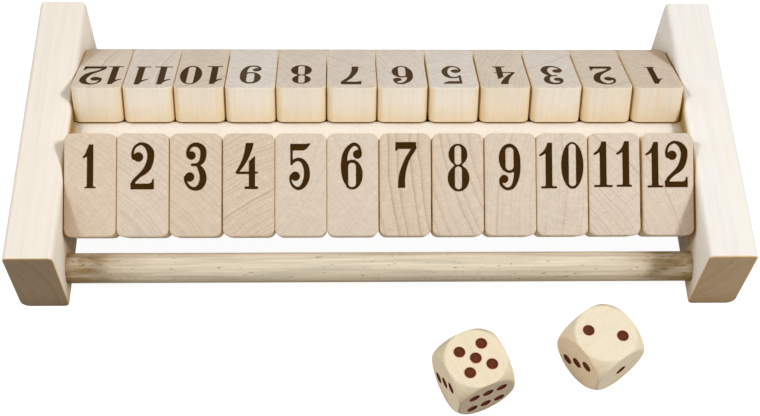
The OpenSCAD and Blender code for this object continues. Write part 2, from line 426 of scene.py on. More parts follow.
def nine(x, y):
    tail = stroke(x, y, (2.6, 14.6, 1.1), (3.1, 12.0, 1.3), (3.15, 8.0, 1.35), (2.6, 4.0, 1.15),
                  (1.3, 1.0, 0.85), (-0.5, 0.0, 0.65), (-2.3, 0.5, 0.65), (-3.6, 2.1, 0.65),
                  (-3.7, 4.0, 0.7))
    bowl = join(oval(x, y, -0.1, 12.6, 4.4, 6.1), tail, soft=0.5)
    counter = slab(x, y, -1.65, 1.6, 7.7, 17.1, 1.6)
    return join(np.maximum(bowl, -counter), ball(x, y, -2.3, 4.1, 1.75), soft=0.3)


# each number's figures, with how far right of the tile's middle and above the baseline they
# stand, and how much farther right they stand on the back row
NUMBERS = {
    1: ([(narrow_one, 0.1, 0)], 0), 2: ([(two, -0.1, 0)], 0.15), 3: ([(three, 0.2, 0)], 0.25),
    4: ([(four, -0.65, 0)], -0.15), 5: ([(five, -0.3, 0)], 0.7), 6: ([(six, -0.35, 0)], 0),
    7: ([(seven, 0.3, 0)], 0), 8: ([(eight, 0.1, 0)], -0.1), 9: ([(nine, -0.3, 0)], 0.6),
    10: ([(short_footed_one, -5.45, -0.4), (zero, 4.25, 0)], -0.1),
    11: ([(one, -4.7, 0.1), (clipped_one, 4.75, 0.2)], -0.2),
    12: ([(short_footed_one, -5.5, -0.1), (two, 3.3, 0.5)], -0.2),
}


def contour(field, x, y, level):
    """Points and edges of the line where a field on a grid has a level. Each grid square is two
    triangles; the line crosses a triangle's side at the point in proportion to the values at its
    ends, and joins the two sides that it crosses."""
    high = field.ravel() > level
    number = np.arange(field.size).reshape(field.shape)
    a, b, c, d = number[:-1, :-1], number[:-1, 1:], number[1:, 1:], number[1:, :-1]
    triangles = np.concatenate([np.stack(t, -1).reshape(-1, 3) for t in ((a, b, c), (a, c, d))])
    sides = np.stack([triangles, np.roll(triangles, -1, 1)], -1)
    crossed = high[sides[..., 0]] != high[sides[..., 1]]
    sides = np.sort(sides[crossed.sum(1) == 2][crossed[crossed.sum(1) == 2]], axis=1)
    ends, edges = np.unique(sides, axis=0, return_inverse=True)
    value = field.ravel()[ends] - level
    share = value[:, 0] / (value[:, 0] - value[:, 1])
    place = np.stack([x.ravel(), y.ravel()], 1)
    points = place[ends[:, 0]] + share[:, None] * (place[ends[:, 1]] - place[ends[:, 0]])
    return points, edges.reshape(-1, 2)


def numbered_face(shell, outline, number, back):
    """The tile's front, one net over its outline and the lines round the number's figures."""
    figures, farther = NUMBERS[number]
    x, y = np.meshgrid(np.arange(-TRACE_HALF, TRACE_HALF + TRACE_STEP / 2, TRACE_STEP),
                       np.arange(TRACE_LOW, TRACE_HIGH, TRACE_STEP))
    field = join(*(draw(x - right - farther * back, y - BASELINE - up) for draw, right, up in figures))
    points, edges = [outline], [loop_edges(0, len(outline))]
    height, burn = [np.zeros(len(outline))], [np.zeros(len(outline))]
    count = len(outline)
    for level, low, brown in BURN_LINES:
        line, pairs = contour(field, x, y, level)
        points.append(line)
        edges.append(pairs + count)
        height.append(np.full(len(line), low))
        burn.append(np.full(len(line), brown))
        count += len(line)
    flat, height, burn = np.concatenate(points), np.concatenate(height), np.concatenate(burn)
    triangles = net(flat, np.concatenate(edges))
    solid = np.column_stack([flat, TILE_THICK / 2 + height])
    charred = height[triangles].min(1) < 0
    shell.add(solid, triangles[~charred], burn=burn, smooth=False)
    shell.add(solid, triangles[charred], burn=burn, smooth=False, paint=1)


def tile_shell(number, back):
    """A tile about its axle: a runs across, b along its length, c out of its numbered face. back
    is 1 on the back row, else 0. Its four corners are browned along their whole height, partly as
    wear and partly as painted warm light."""
    shell = Shell()
    middle = TILE_LEN / 2 - AXLE_FROM_END
    radii = (TILE_ROUND,) * 4

    def section(inset):
        return rounded(TILE_W / 2, TILE_LEN / 2, radii, inset) + (0, middle)

    steps = len(section(0)) // 4
    rims = eased_bar(shell, section, TILE_THICK, (TILE_BACK_EASE, TILE_EASE),
                     skip=(2 * steps - 1, 4 * steps - 1),
                     wear_and_light_by_side=lambda outward, mark: TILE_WEAR_AND_LIGHT * np.maximum(mark, 2 * abs(outward.prod(1))))
    numbered_face(shell, rims[1], number, back)
    face(shell, 2, -1, -TILE_THICK / 2, rims[0])
    low, high = middle - TILE_LEN / 2 + TILE_ROUND, middle + TILE_LEN / 2 - TILE_ROUND
    under, over = TILE_BACK_EASE - TILE_THICK / 2, TILE_THICK / 2 - TILE_EASE
    wall = np.array([(low, under), (high, under), (high, over), (low, over)])
    for side in (-1, 1):
        face(shell, 0, side, side * TILE_W / 2, wall, [((0, 0), BORE_R)])
    hole(shell, 0, -TILE_W / 2, TILE_W / 2, (0, 0), BORE_R)
    return shell


def rail_shell(node, bores):
    """A side rail about its middle: a points at the tiles, b up, c along. bores are the sockets
    in its inner face, as (centre, radius, depth)."""
    low, high = box_mm(node)
    half_a, length, half_b = (high[0] - low[0]) / 2, high[1] - low[1], (high[2] - low[2]) / 2
    radii = (RAIL_ROUND, RAIL_ROUND, RAIL_FOOT, RAIL_ROUND)
    shell = Shell()
    steps = len(rounded(1, 1, radii)) // 4
    # the honey edge tint stays on the top and inner edges, which catch the light, and is left off the outer
    # and lower ones: partly wear, partly painted warm light
    _, rim = eased_bar(shell, lambda inset: rounded(half_a, half_b, radii, inset), length, RAIL_EASE,
                       skip=(4 * steps - 1,),
                       wear_and_light_by_side=lambda outward, mark: mark * np.clip(outward.max(1), 0, 1))
    face(shell, 2, 1, length / 2, rim)
    face(shell, 2, -1, -length / 2, rim)
    deep = length / 2 - RAIL_EASE
    top, foot = half_b - RAIL_ROUND, RAIL_ROUND - half_b
    wall = np.array([(foot, -deep), (top, -deep), (top, deep), (foot, deep)])
    face(shell, 0, 1, half_a, wall, [(centre, r) for centre, r, _ in bores])
    for centre, r, depth in bores:
        hole(shell, 0, half_a - depth, half_a, centre, r, floor=1)
    return shell


def dowel_shell(length, radius):
    """A round bar along c with eased ends."""
    shell = Shell()
    _, rim = eased_bar(shell, lambda inset: circle((0, 0), radius - inset), length, DOWEL_EASE)
    face(shell, 2, 1, length / 2, rim)
    face(shell, 2, -1, -length / 2, rim)
    return shell


# ---- materials ----

# a year's growth from its first to its last wood, as (share of the ring gap, how dark)
YEAR = [(0.0, 0.35), (0.06, 0.0), (0.62, 0.10), (0.88, 0.45), (0.95, 1.0), (1.0, 0.5)]
BUNCHES_A_YEAR, BUNCHED_BY = 0.6, 1.2  # how rings bunch up and spread out: how often, and how far
WANDER_MM = 1.5  # how far a ring strays from its circle
RAYS_PER_RADIAN, RAY_MM = 130.0, 7.0  # how many rays run out from the pith, and how long each is
SCAN_MM = 0.5  # from one scan line of the laser to the next
STAINED_MM = (92.0, 128.0)  # from a dowel's middle: where its stain begins, and where it is full
CARD_TOOTH_PER_M = 900.0  # bumps of the table's white card to a metre

# how a mix node mixes colours: it takes its share at input 0 and the colours at 6 and 7
MIXED = dict(out=2, data_type="RGBA")
MULTIPLIED = dict(MIXED, blend_type="MULTIPLY")


def srgb(text):
    """An sRGB hex colour in linear light: c / 12.92 below 0.04045, else ((c + 0.055) / 1.055)^2.4."""
    c = np.array([int(text[i:i + 2], 16) / 255 for i in (1, 3, 5)])
    return (*np.where(c <= 0.04045, c / 12.92, ((c + 0.055) / 1.055) ** 2.4), 1.0)


def node(tree, kind, feeds=None, out=0, **settings):
    """Adds a shader node of a kind with its settings. feeds gives each input a value, an sRGB hex
    colour or another node's output. Returns its output number out, or the node if it has none."""
    made = tree.nodes.new("ShaderNode" + kind)
    for key, value in settings.items():
        setattr(made, key, value)
    for key, value in (feeds or {}).items():
        if isinstance(value, bpy.types.NodeSocket):
            tree.links.new(value, made.inputs[key])
        else:
            made.inputs[key].default_value = srgb(value) if isinstance(value, str) else value
    return made.outputs[out] if made.outputs else made


def new_material(name, roughness=0.6, shine=0.3):
    """A material with a principled shader; raw wood is rough and shines little."""
    material = bpy.data.materials.new(name)
    material.use_nodes = True
    tree = material.node_tree
    tree.nodes.clear()
    surface = {"Roughness": roughness, "Specular IOR Level": shine}
    shader = node(tree, "BsdfPrincipled", surface).node
    node(tree, "OutputMaterial", {"Surface": shader.outputs[0]})
    return material, tree, shader


def times(tree, colour, guide, low, high, dark, light):
    """A colour times a factor that goes from dark to light as its guide goes from low to high."""
    factor = node(tree, "MapRange", {0: guide, 1: low, 2: high, 3: dark, 4: light})
    return node(tree, "VectorMath", {0: colour, 1: factor}, operation="MULTIPLY")


def mottle(tree, place, across, along, detail, roughness=0.5, out=0):
    """Noise that follows the grain, with as many cells to a millimetre as across and along say."""
    cells = node(tree, "VectorMath", {0: place, 1: (across, across, along)}, operation="MULTIPLY")
    return node(tree, "TexNoise", {"Vector": cells, "Scale": 1.0, "Detail": detail,
                                             "Roughness": roughness}, out=out)


def year_line(tree, part):
    """How dark a year's growth is at a part of it, from 0 to 1."""
    line = node(tree, "ValToRGB", {0: part})
    stops = line.node.color_ramp.elements
    while len(stops) < len(YEAR):
        stops.new(0.5)
    for stop, (share, dark) in zip(stops, YEAR):
        stop.position = share
        stop.color = (dark, dark, dark, 1)
    return line


def wood_figure(tree, fibre_mm=0.35, streak_mm=9.0):
    """Rings, fibres and rays of a tree, from each point's place in it. Rings lie about a gap apart
    round the pith, bunch up and wander; fibres are fibre_mm wide and streak_mm long, so they show
    as streaks along the grain and as specks on a cut across it."""
    place, look, marks = (node(tree, "Attribute", out=1, attribute_name=title)
                          for title in ("wood_mm", "wood_look", "wood_face"))
    gap, strength, tone = node(tree, "SeparateXYZ", {0: look}).node.outputs
    across, edge, burn = node(tree, "SeparateXYZ", {0: marks}).node.outputs
    cut = node(tree, "Attribute", out=2, attribute_name="wood_cut")

    drift = mottle(tree, place, 0.06, 0.008, 3.0, out=1)
    drift = node(tree, "VectorMath", {0: drift, 1: (0.5, 0.5, 0.5)}, operation="SUBTRACT")
    sway = (2 * WANDER_MM, 2 * WANDER_MM, 0)
    warped = node(tree, "VectorMath", {0: drift, 1: sway, 2: place}, operation="MULTIPLY_ADD")
    flat = node(tree, "VectorMath", {0: warped, 1: (1, 1, 0)}, operation="MULTIPLY")
    radius = node(tree, "VectorMath", {0: flat}, out=1, operation="LENGTH")
    phase = node(tree, "Math", {0: radius, 1: gap}, operation="DIVIDE")
    bunch = node(tree, "TexNoise", {"W": phase, "Scale": BUNCHES_A_YEAR, "Detail": 0.0},
                 noise_dimensions="1D")
    phase = node(tree, "Math", {0: bunch, 1: BUNCHED_BY, 2: phase}, operation="MULTIPLY_ADD")
    year = node(tree, "Math", {0: phase}, operation="FLOOR")
    part = node(tree, "Math", {0: phase}, operation="FRACT")
    luck = node(tree, "TexWhiteNoise", {"W": year}, noise_dimensions="1D")
    luck = node(tree, "MapRange", {0: luck, 3: 0.3, 4: 0.95})
    rings = node(tree, "Math", {0: year_line(tree, part), 1: luck}, operation="MULTIPLY")
    rings = node(tree, "Math", {0: rings, 1: strength}, operation="MULTIPLY")

    fibres = mottle(tree, warped, 1 / fibre_mm, 1 / streak_mm, 3.0, roughness=0.6)
    bands = mottle(tree, warped, 0.35, 0.02, 2.0)

    x, y, _ = node(tree, "SeparateXYZ", {0: warped}).node.outputs
    bearing = node(tree, "Math", {0: y, 1: x}, operation="ARCTAN2")
    bearing = node(tree, "Math", {0: bearing, 1: RAYS_PER_RADIAN}, operation="MULTIPLY")
    reach = node(tree, "Math", {0: radius, 1: RAY_MM}, operation="DIVIDE")
    spoke = node(tree, "CombineXYZ", {0: bearing, 1: reach})
    rays = node(tree, "TexNoise", {"Vector": spoke, "Scale": 1.0, "Detail": 1.0})
    return dict(place=place, rings=rings, fibres=fibres, bands=bands, rays=rays, tone=tone, cut=cut,
                across=across, edge=edge, burn=burn)


def wood_colour(tree, wood, side, late, end, end_late, worn_and_lit, hollow_shade, warm="#F3DDBB",
                other=("MIX", "#ECE4DA"), grain=0.06):
    """Colour of sanded wood. side is its long grain and late the darker late wood in it; end and
    end_late are the same where it is cut across, which is darker, because its open pores hold less
    light. other is how, and towards which colour, end grain turns where wood_cut asks for it. Warm
    trees turn towards warm, and eased edges towards worn, a honey tint that is partly wear and partly
    painted warm light. hollow is what painted_hollow_shade takes, the painted shade and glow in gaps, and
    grain is how much the fibres show."""
    honey = node(tree, "MapRange", {0: wood["bands"], 1: 0.54, 2: 0.82})
    side = node(tree, "Mix", {0: honey, 6: side, 7: late}, **MIXED)
    side = node(tree, "Mix", {0: wood["rings"], 6: side, 7: late}, **MIXED)
    end = node(tree, "Mix", {0: wood["cut"], 6: end, 7: other[1]}, blend_type=other[0], **MIXED)
    end = node(tree, "Mix", {0: wood["rings"], 6: end, 7: end_late}, **MIXED)
    end = times(tree, end, wood["rays"], 0.3, 0.7, 0.96, 1.03)
    end = times(tree, end, wood["fibres"], 0.3, 0.7, 1 - 1.5 * grain, 1 + grain)
    side = times(tree, side, wood["fibres"], 0.25, 0.75, 1 - 0.5 * grain, 1 + grain / 4)
    across = node(tree, "MapRange", {0: wood["across"], 1: 0.1, 2: 0.75}, interpolation_type="SMOOTHSTEP")
    colour = node(tree, "Mix", {0: across, 6: side, 7: end}, **MIXED)
    colour = times(tree, colour, wood["bands"], 0.3, 0.7, 0.96, 1.03)
    colour = node(tree, "Mix", {0: wood["tone"], 6: colour, 7: warm}, **MULTIPLIED)
    colour = node(tree, "Mix", {0: wood["edge"], 6: colour, 7: worn_and_lit}, **MULTIPLIED)
    return painted_hollow_shade(tree, colour, **hollow_shade)


def painted_hollow_shade(tree, colour, reach_mm, deep, glow="#000000", open_sky=0.8, shut_sky=0.1):
    """Painted shade and painted light in narrow gaps. Light that reaches a narrow gap has bounced
    off pale wood on its way, and gets warmer each time; that shade is painted into the colour, which
    is untouched where at least the share open_sky of the sky is seen within reach_mm, and is
    multiplied by deep where no more than shut_sky is. The gaps' sides also give off a painted glow
    of the colour glow, as strong as they are closed in, though they are no lamp."""
    sky = node(tree, "AmbientOcclusion", {"Distance": reach_mm * MM}, out=1, samples=6)
    closed = node(tree, "MapRange", {0: sky, 1: open_sky, 2: shut_sky, 3: 0.0, 4: 1.0})
    shader = [n for n in tree.nodes if n.type == "BSDF_PRINCIPLED"][0]
    shader.inputs["Emission Color"].default_value = srgb(glow)
    tree.links.new(closed, shader.inputs["Emission Strength"])
    return node(tree, "Mix", {0: closed, 6: colour, 7: deep}, **MULTIPLIED)


def wood_surface(tree, shader, wood, colour, relief_mm):
    """Gives sanded wood its colour, the raised grain that sanding leaves, relief_mm high, and a
    roughness that follows the grain."""
    height = node(tree, "Math", {0: wood["fibres"], 1: wood["rings"]}, operation="ADD")
    bump = node(tree, "Bump", {"Height": height, "Strength": 0.35, "Distance": relief_mm * MM})
    rough = node(tree, "MapRange", {0: wood["fibres"], 3: 0.5, 4: 0.72})
    tree.links.new(colour, shader.inputs["Base Color"])
    tree.links.new(bump, shader.inputs["Normal"])
    tree.links.new(rough, shader.inputs["Roughness"])


def maple_planed():
    """Maple strip, planed and sanded, without varnish: near white along the grain, with faint
    cream streaks, and grey-brown where it is sawn across."""
    material, tree, shader = new_material("maple_planed_and_sanded")
    wood = wood_figure(tree)
    # painted shade in gaps and under the tiles, dark honey-brown, with a faint painted glow
    hollow_shade = dict(reach_mm=30.0, deep="#A08038", glow="#2C2004", open_sky=0.62, shut_sky=0.34)
    colour = wood_colour(tree, wood, side="#F6F0E7", late="#F0E7D7", end="#D6BA94", end_late="#94784F",
                         worn_and_lit="#FFEFCB", other=("MULTIPLY", "#CCCED6"), hollow_shade=hollow_shade)
    wood_surface(tree, shader, wood, colour, relief_mm=0.05)
    return material


def maple_tile():
    """Maple tile, cut across a moulded strip and sanded: pinkish end grain with thin ring lines on
    the numbered face, creamy long grain on its sides, honey-coloured eased edges, partly wear and
    partly painted warm light, and painted shade and a faint painted glow in its gaps."""
    material, tree, shader = new_material("maple_sawn_across_and_sanded")
    wood = wood_figure(tree, fibre_mm=0.42)
    # painted shade in the gaps between tiles: tan on the long grain, honey-brown on the end grain, with a
    # faint painted glow
    shaded = node(tree, "Mix", {0: wood["across"], 6: "#DECBA0", 7: "#B8842C"}, **MIXED)
    hollow_shade = dict(reach_mm=16.0, deep=shaded, glow="#3A3226", open_sky=0.88)
    colour = wood_colour(tree, wood, side="#FBF2E2", late="#F3E5CB", end="#E1D0BB", end_late="#A88A6C",
                         worn_and_lit="#FBEFCE", grain=0.10, hollow_shade=hollow_shade)
    heat = node(tree, "Math", {0: wood["burn"], 1: 1.6}, operation="POWER")
    colour = node(tree, "Mix", {0: heat, 6: colour, 7: "#A57440"}, **MIXED)
    wood_surface(tree, shader, wood, colour, relief_mm=0.06)
    return material


def maple_charred():
    """Maple burnt away by a laser: dark brown char with the beam's fine scan lines, drawn 0.5 mm
    apart, coarser than the real ones so that they show. On greyer wood the char is greyer too."""
    material, tree, shader = new_material("maple_charred_by_laser", roughness=0.85, shine=0.08)
    wood = wood_figure(tree)
    _, y, _ = node(tree, "SeparateXYZ", {0: wood["place"]}).node.outputs
    scan = node(tree, "Math", {0: y, 1: 2 * math.pi / SCAN_MM}, operation="MULTIPLY")
    scan = node(tree, "Math", {0: scan}, operation="SINE")
    mixed = node(tree, "Math", {0: scan, 1: 0.18, 2: wood["fibres"]}, operation="MULTIPLY_ADD")
    mixed = node(tree, "MapRange", {0: mixed, 1: 0.2, 2: 0.8})
    char = node(tree, "Mix", {0: mixed, 6: "#2C1900", 7: "#4A2F08"}, **MIXED)
    # the char greys with its wood's end grain, which on the back row is painted sheen
    greyer = node(tree, "Math", {0: wood["cut"], 1: 0.6}, operation="MULTIPLY")
    char = node(tree, "Mix", {0: greyer, 6: char, 7: "#6E5B44"}, **MIXED)
    tree.links.new(char, shader.inputs["Base Color"])
    bump = node(tree, "Bump", {"Height": mixed, "Strength": 0.4, "Distance": 0.04 * MM})
    tree.links.new(bump, shader.inputs["Normal"])
    return material


def beech_dowel():
    """Beech rod, turned and left raw: tan with darker streaks and short dark flecks along the
    grain, which are the cut ends of its rays, and stained brown by handling near its ends."""
    material, tree, shader = new_material("beech_turned_rod")
    wood = wood_figure(tree, fibre_mm=0.45, streak_mm=7.0)
    # its hollow colour is painted shade where little sky is in sight
    colour = wood_colour(tree, wood, side="#E5D7BD", late="#C8B595", end="#C2A67E", end_late="#A2835B",
                         worn_and_lit="#F5DDB0", warm="#EAD6B2", grain=0.14,
                         hollow_shade=dict(reach_mm=6.0, deep="#A8967A"))
    _, _, z = node(tree, "SeparateXYZ", {0: wood["place"]}).node.outputs
    far = node(tree, "Math", {0: z}, operation="ABSOLUTE")
    near_end = node(tree, "MapRange", {0: far, 1: STAINED_MM[0], 2: STAINED_MM[1]},
                    interpolation_type="SMOOTHSTEP")
    colour = times(tree, colour, mottle(tree, wood["place"], 0.8, 0.02, 3.0), 0.35, 0.65, 0.80, 1.06)
    blot = mottle(tree, wood["place"], 0.25, 0.09, 2.0)
    blot = node(tree, "MapRange", {0: blot, 1: 0.35, 2: 0.6, 3: 0.25, 4: 1.0})
    blot = node(tree, "Math", {0: blot, 1: near_end}, operation="MULTIPLY")
    colour = node(tree, "Mix", {0: blot, 6: colour, 7: "#C3AC80"}, **MULTIPLIED)
    fleck = mottle(tree, wood["place"], 1.6, 0.32, 1.0)
    fleck = node(tree, "Math", {0: near_end, 1: 0.07, 2: fleck}, operation="MULTIPLY_ADD")
    fleck = node(tree, "MapRange", {0: fleck, 1: 0.70, 2: 0.76, 3: 0.0, 4: 0.75})
    colour = node(tree, "Mix", {0: fleck, 6: colour, 7: "#6A5330"}, **MIXED)
    wood_surface(tree, shader, wood, colour, relief_mm=0.06)
    return material


def lime_die():
    """Lime wood, tumbled smooth: pale cream with fine short flecks, rings that hardly show, and a
    faint red rim round each pip, where the stain has bled into the wood."""
    material, tree, shader = new_material("lime_wood_tumbled")
    wood = wood_figure(tree, fibre_mm=0.4, streak_mm=3.0)
    # its hollow colour is painted warm shade where little sky is in sight
    colour = wood_colour(tree, wood, side="#F2E4C6", late="#EADBB9", end="#CFC0A5", end_late="#BFA684",
                         worn_and_lit="#F8E8C8", other=("MIX", "#F8E0BC"), grain=0.09,
                         hollow_shade=dict(reach_mm=9.0, deep="#CFA46A"))
    fleck = mottle(tree, wood["place"], 2.6, 0.5, 1.0)
    fleck = node(tree, "MapRange", {0: fleck, 1: 0.64, 2: 0.74, 3: 0.0, 4: 0.35})
    colour = node(tree, "Mix", {0: fleck, 6: colour, 7: "#C9B085"}, **MIXED)
    colour = node(tree, "Mix", {0: wood["burn"], 6: colour, 7: "#D98F6C"}, **MIXED)
    wood_surface(tree, shader, wood, colour, relief_mm=0.04)
    return material


def pip_paint():
    """Brown stain dabbed into the pips: flat, dark red-brown and a little uneven where the grain
    soaks it up, with painted shade that makes it nearly black where little sky is in sight."""
    material, tree, shader = new_material("brown_stain_in_pips", roughness=0.7, shine=0.12)
    wood = wood_figure(tree, fibre_mm=0.5, streak_mm=2.0)
    blot = node(tree, "MapRange", {0: wood["fibres"], 1: 0.3, 2: 0.7})
    colour = node(tree, "Mix", {0: blot, 6: "#562815", 7: "#73391F"}, **MIXED)
    # painted shade: the stain darkens towards grey-black where the pips see little sky
    colour = painted_hollow_shade(tree, colour, 25.0, "#4A4E50", open_sky=0.9)
    tree.links.new(colour, shader.inputs["Base Color"])
    return material


planed, tile_wood, charred = maple_planed(), maple_tile(), maple_charred()
beech, lime, stain = beech_dowel(), lime_die(), pip_paint()

# ---- rails, dowels and pins ----

# turns from a piece's axes to the frame's: the columns say where a, b and c point
TO_LEFT_RAIL = np.array([[1, 0, 0], [0, 0, -1], [0, 1, 0]], float)
TO_RIGHT_RAIL = np.array([[-1, 0, 0], [0, 0, 1], [0, 1, 0]], float)
ALONG_X = np.array([[0, 0, 1], [1, 0, 0], [0, 1, 0]], float)

DOWELS = ["rest_dowel_front", "rest_dowel_back", "axle_dowel_front", "axle_dowel_back"]
PINS = ["rail_pin_left_upper", "rail_pin_left_lower", "rail_pin_right_upper", "rail_pin_right_lower"]


def middle_of(node):
    """Middle of a CAD node's box."""
    return box_mm(node).mean(0)


def radius_of(node):
    """Radius of a bar that lies across the rack."""
    low, high = box_mm(node)
    return (high[2] - low[2]) / 2


def make_side_rail(node, turn, wood):
    """A side rail with its sockets, worked out from the dowels and pins that sit in it."""
    centre = middle_of(node)
    side = "left" if "left" in node else "right"
    bores = []
    for bar, depth in [(d, SOCKET_DEPTH) for d in DOWELS] + [(p, PIN_SOCKET) for p in PINS if side in p]:
        place = (middle_of(bar) - centre) @ turn
        bores.append(((place[1], place[2]), radius_of(bar) + GLUE_GAP, depth))
    piece = build(node + "_wood", rail_shell(node, bores), turn, centre, wood, [planed])
    stand_for(piece, node, "rack")


make_side_rail("side_rail_left", TO_LEFT_RAIL, (2, (-52, -12), 4.4, 0.8, 0.22, 1.0, 0))
make_side_rail("side_rail_right", TO_RIGHT_RAIL, (2, (62, 36), 2.8, 0.55, 0.0, 0.0, 400))


def make_centre_rail():
    """The bar between the rows: a rectangle with eased long edges, square at its ends, where it
    meets the side rails, and with two pin sockets in each end."""
    low, high = box_mm("centre_rail")
    half_a, half_b, length = (high[1] - low[1]) / 2, (high[2] - low[2]) / 2, high[0] - low[0]
    shell = Shell()
    ring = rounded(half_a, half_b, (CENTRE_EASE,) * 4, steps=3)
    rows = np.empty((2, len(ring), 3))
    rows[:, :, :2] = ring
    rows[:, :, 2] = [[-length / 2], [length / 2]]
    shell.add(rows, quads(2, len(ring)))
    for side in (-1, 1):
        pins = [p for p in PINS if ("right" in p) == (side > 0)]
        bores = [((0, middle_of(p)[2] - (low[2] + high[2]) / 2), radius_of(p) + GLUE_GAP) for p in pins]
        face(shell, 2, side, side * length / 2, ring, bores)
        for centre, r in bores:
            ends = sorted((side * length / 2, side * (length / 2 - PIN_SOCKET)))
            hole(shell, 2, ends[0], ends[1], centre, r, floor=side)
    wood = (2, (30, -70), 3.2, 0.3, 0.0, 0, 800)
    piece = build("centre_rail_wood", shell, ALONG_X, (low + high) / 2, wood, [planed])
    stand_for(piece, "centre_rail", "rack")


make_centre_rail()

# each bar's pith lies a little farther off than the last one's, so that no two look the same
for count, name in enumerate(DOWELS + PINS):
    low, high = box_mm(name)
    shell = dowel_shell(high[0] - low[0], radius_of(name))
    wood = (2, (25 + 7 * count, -30), 2.2, 0.5, 0.1 * (count % 3), 0, 0)
    piece = build(name + "_wood", shell, ALONG_X, (low + high) / 2, wood, [beech])
    stand_for(piece, name, "rack")

# ---- tiles ----
# Per tile, 1 to 12: where the pith of its tree lies from the axle, across and along the tile in
# millimetres, the ring gap, how strongly the rings show, how warm and how grey it is.
FRONT_WOOD = [
    (-40, -30, 2.0, 0.3, 0.2, 0), (-43, -45, 2.4, 0.5, 0.05, 0), (-50, -50, 2.6, 0.5, 0.2, 0),
    (38, -60, 1.7, 0.75, 0.22, 0), (-90, 60, 3.0, 0.2, 0.05, 0), (80, 70, 3.0, 0.2, 0.0, 0),
    (147, 28, 4.8, 0.9, 0.2, 0), (120, 50, 4.0, 0.65, 0.12, 0), (98, -7, 2.4, 0.4, 0.05, 0),
    (-120, 10, 2.8, 0.3, 0.0, 0), (-60, -50, 2.2, 0.5, 0.0, 0), (-72, -24, 1.8, 0.45, 0.0, 0)]
# the back row's paler, greyer end grain is painted sheen: the look of end grain seen at a grazing angle
BACK_WOOD = [
    (-45, -55, 1.8, 0.5, 0.2, 0.2), (50, -60, 2.4, 0.45, 0.15, 0.35), (60, -70, 2.2, 0.45, 0.0, 0.6),
    (-80, 40, 3.0, 0.4, 0.2, 0.45), (40, -80, 2.8, 0.4, 0.0, 0.7), (90, 40, 3.0, 0.35, 0.0, 0.5),
    (-70, -70, 2.4, 0.45, 0.05, 0.45), (100, 60, 3.0, 0.4, 0.1, 0.35), (-60, -60, 2.6, 0.4, 0.0, 0.75),
    (50, -55, 2.2, 0.6, 0.15, 0.3), (-90, 20, 2.0, 0.5, 0.0, 0.45), (-110, 30, 2.6, 0.45, 0.1, 0.3)]
# places along the tree from one tile to the next, and from the front row's to the back row's
TILE_APART, ROWS_APART = 150, 70

cos_lean, sin_lean = math.cos(TILE_LEAN), math.sin(TILE_LEAN)
LEANING = np.array([[1, 0, 0], [0, cos_lean, -sin_lean], [0, sin_lean, cos_lean]])
HALF_TURN = np.diag([-1.0, -1.0, 1.0])
joints = {joint["child"]: joint for joint in frame["joints"]}

for number in range(1, TILES + 1):
    for row, woods, turn in (("front", FRONT_WOOD, LEANING), ("back", BACK_WOOD, HALF_TURN @ LEANING)):
        back = row == "back"
        name = f"{row}_tile_{number:02d}"
        axle = np.array(joints[name]["pos_m"]) / MM
        axle[0] = middle_of(name)[0]
        across, along, gap, strength, tone, grey = woods[number - 1]
        wood = (2, (across, along), gap, strength, tone, grey, TILE_APART * number + ROWS_APART * back)
        piece = build(name + "_wood", tile_shell(number, back), turn, axle, wood, [tile_wood, charred])
        stand_for(piece, name, name)

# ---- dice ----

def spin(axis, degrees):
    """A turn about an axis, as a matrix."""
    return np.array(Matrix.Rotation(math.radians(degrees), 3, axis))


def die_face(half, ball_r, soft, spots):
    """One sixth of a die. Its flat disc is pitted by the pips; from there out to the planes halfway
    to its neighbours, at the angle t from the face's middle, the surface lies at the lesser of
    half / cos t, the flat, and the ball's radius, blended over soft millimetres."""
    shell = Shell()
    turn = np.arange(DIE_COLS) * 2 * np.pi / DIE_COLS
    start = math.acos(half / (ball_r - soft))
    end = np.arctan(1 / np.maximum(np.abs(np.cos(turn)), np.abs(np.sin(turn))))
    tilt = start + np.linspace(0, 1, DIE_ROWS)[:, None] * (end - start)
    flat = half / np.cos(tilt)
    h = np.maximum(soft - np.abs(flat - ball_r), 0) / soft
    reach = np.minimum(flat, ball_r) - h * h * soft / 4
    points = np.stack([reach * np.sin(tilt) * np.cos(turn), reach * np.sin(tilt) * np.sin(turn),
                       reach * np.cos(tilt)], -1)
    points[0, :, 2] = half
    shell.add(points, quads(DIE_ROWS, DIE_COLS)[:, ::-1])
    holes = [(PIP_OFFSET * np.array(spot), PIP_LIP + PIP_BLEED) for spot in spots]
    face(shell, 2, 1, half, points[0, :, :2], holes)
    for centre, stained in holes:
        halo = np.full((2, ROUND_STEPS, 3), half)
        halo[:, :, :2] = circle(centre, PIP_LIP), circle(centre, stained)
        shell.add(halo, quads(2, ROUND_STEPS)[:, ::-1], burn=np.repeat((1, 0), ROUND_STEPS))
        wall = np.empty((len(PIP_PROFILE), ROUND_STEPS, 3))
        for level, (r, depth) in enumerate(PIP_PROFILE):
            wall[level, :, :2] = circle(centre, r)
            wall[level, :, 2] = half - depth
        shell.add(wall, quads(len(PIP_PROFILE), ROUND_STEPS)[:, ::-1], paint=1)
        face(shell, 2, 1, half - PIP_DEPTH, wall[0, :, :2], paint=1)
    return shell


# places of the pips on a face, in steps of PIP_OFFSET; the six's stand a little farther apart
ONE, TWO = [(0, 0)], [(-1, 1), (1, -1)]
FOUR = TWO + [(1, 1), (-1, -1)]
SIX = [(a, b) for a in (-1.04, 1.04) for b in (-1.24, 0, 1.24)]
# a die's six faces as turns of its top face, with their pips; opposite faces add up to seven
DIE_FACES = [(spin("X", 0), TWO), (spin("X", 180), ONE + FOUR), (spin("X", 90), ONE),
             (spin("X", -90) @ spin("Z", 90), SIX), (spin("Y", 90), FOUR), (spin("Y", -90), ONE + TWO)]

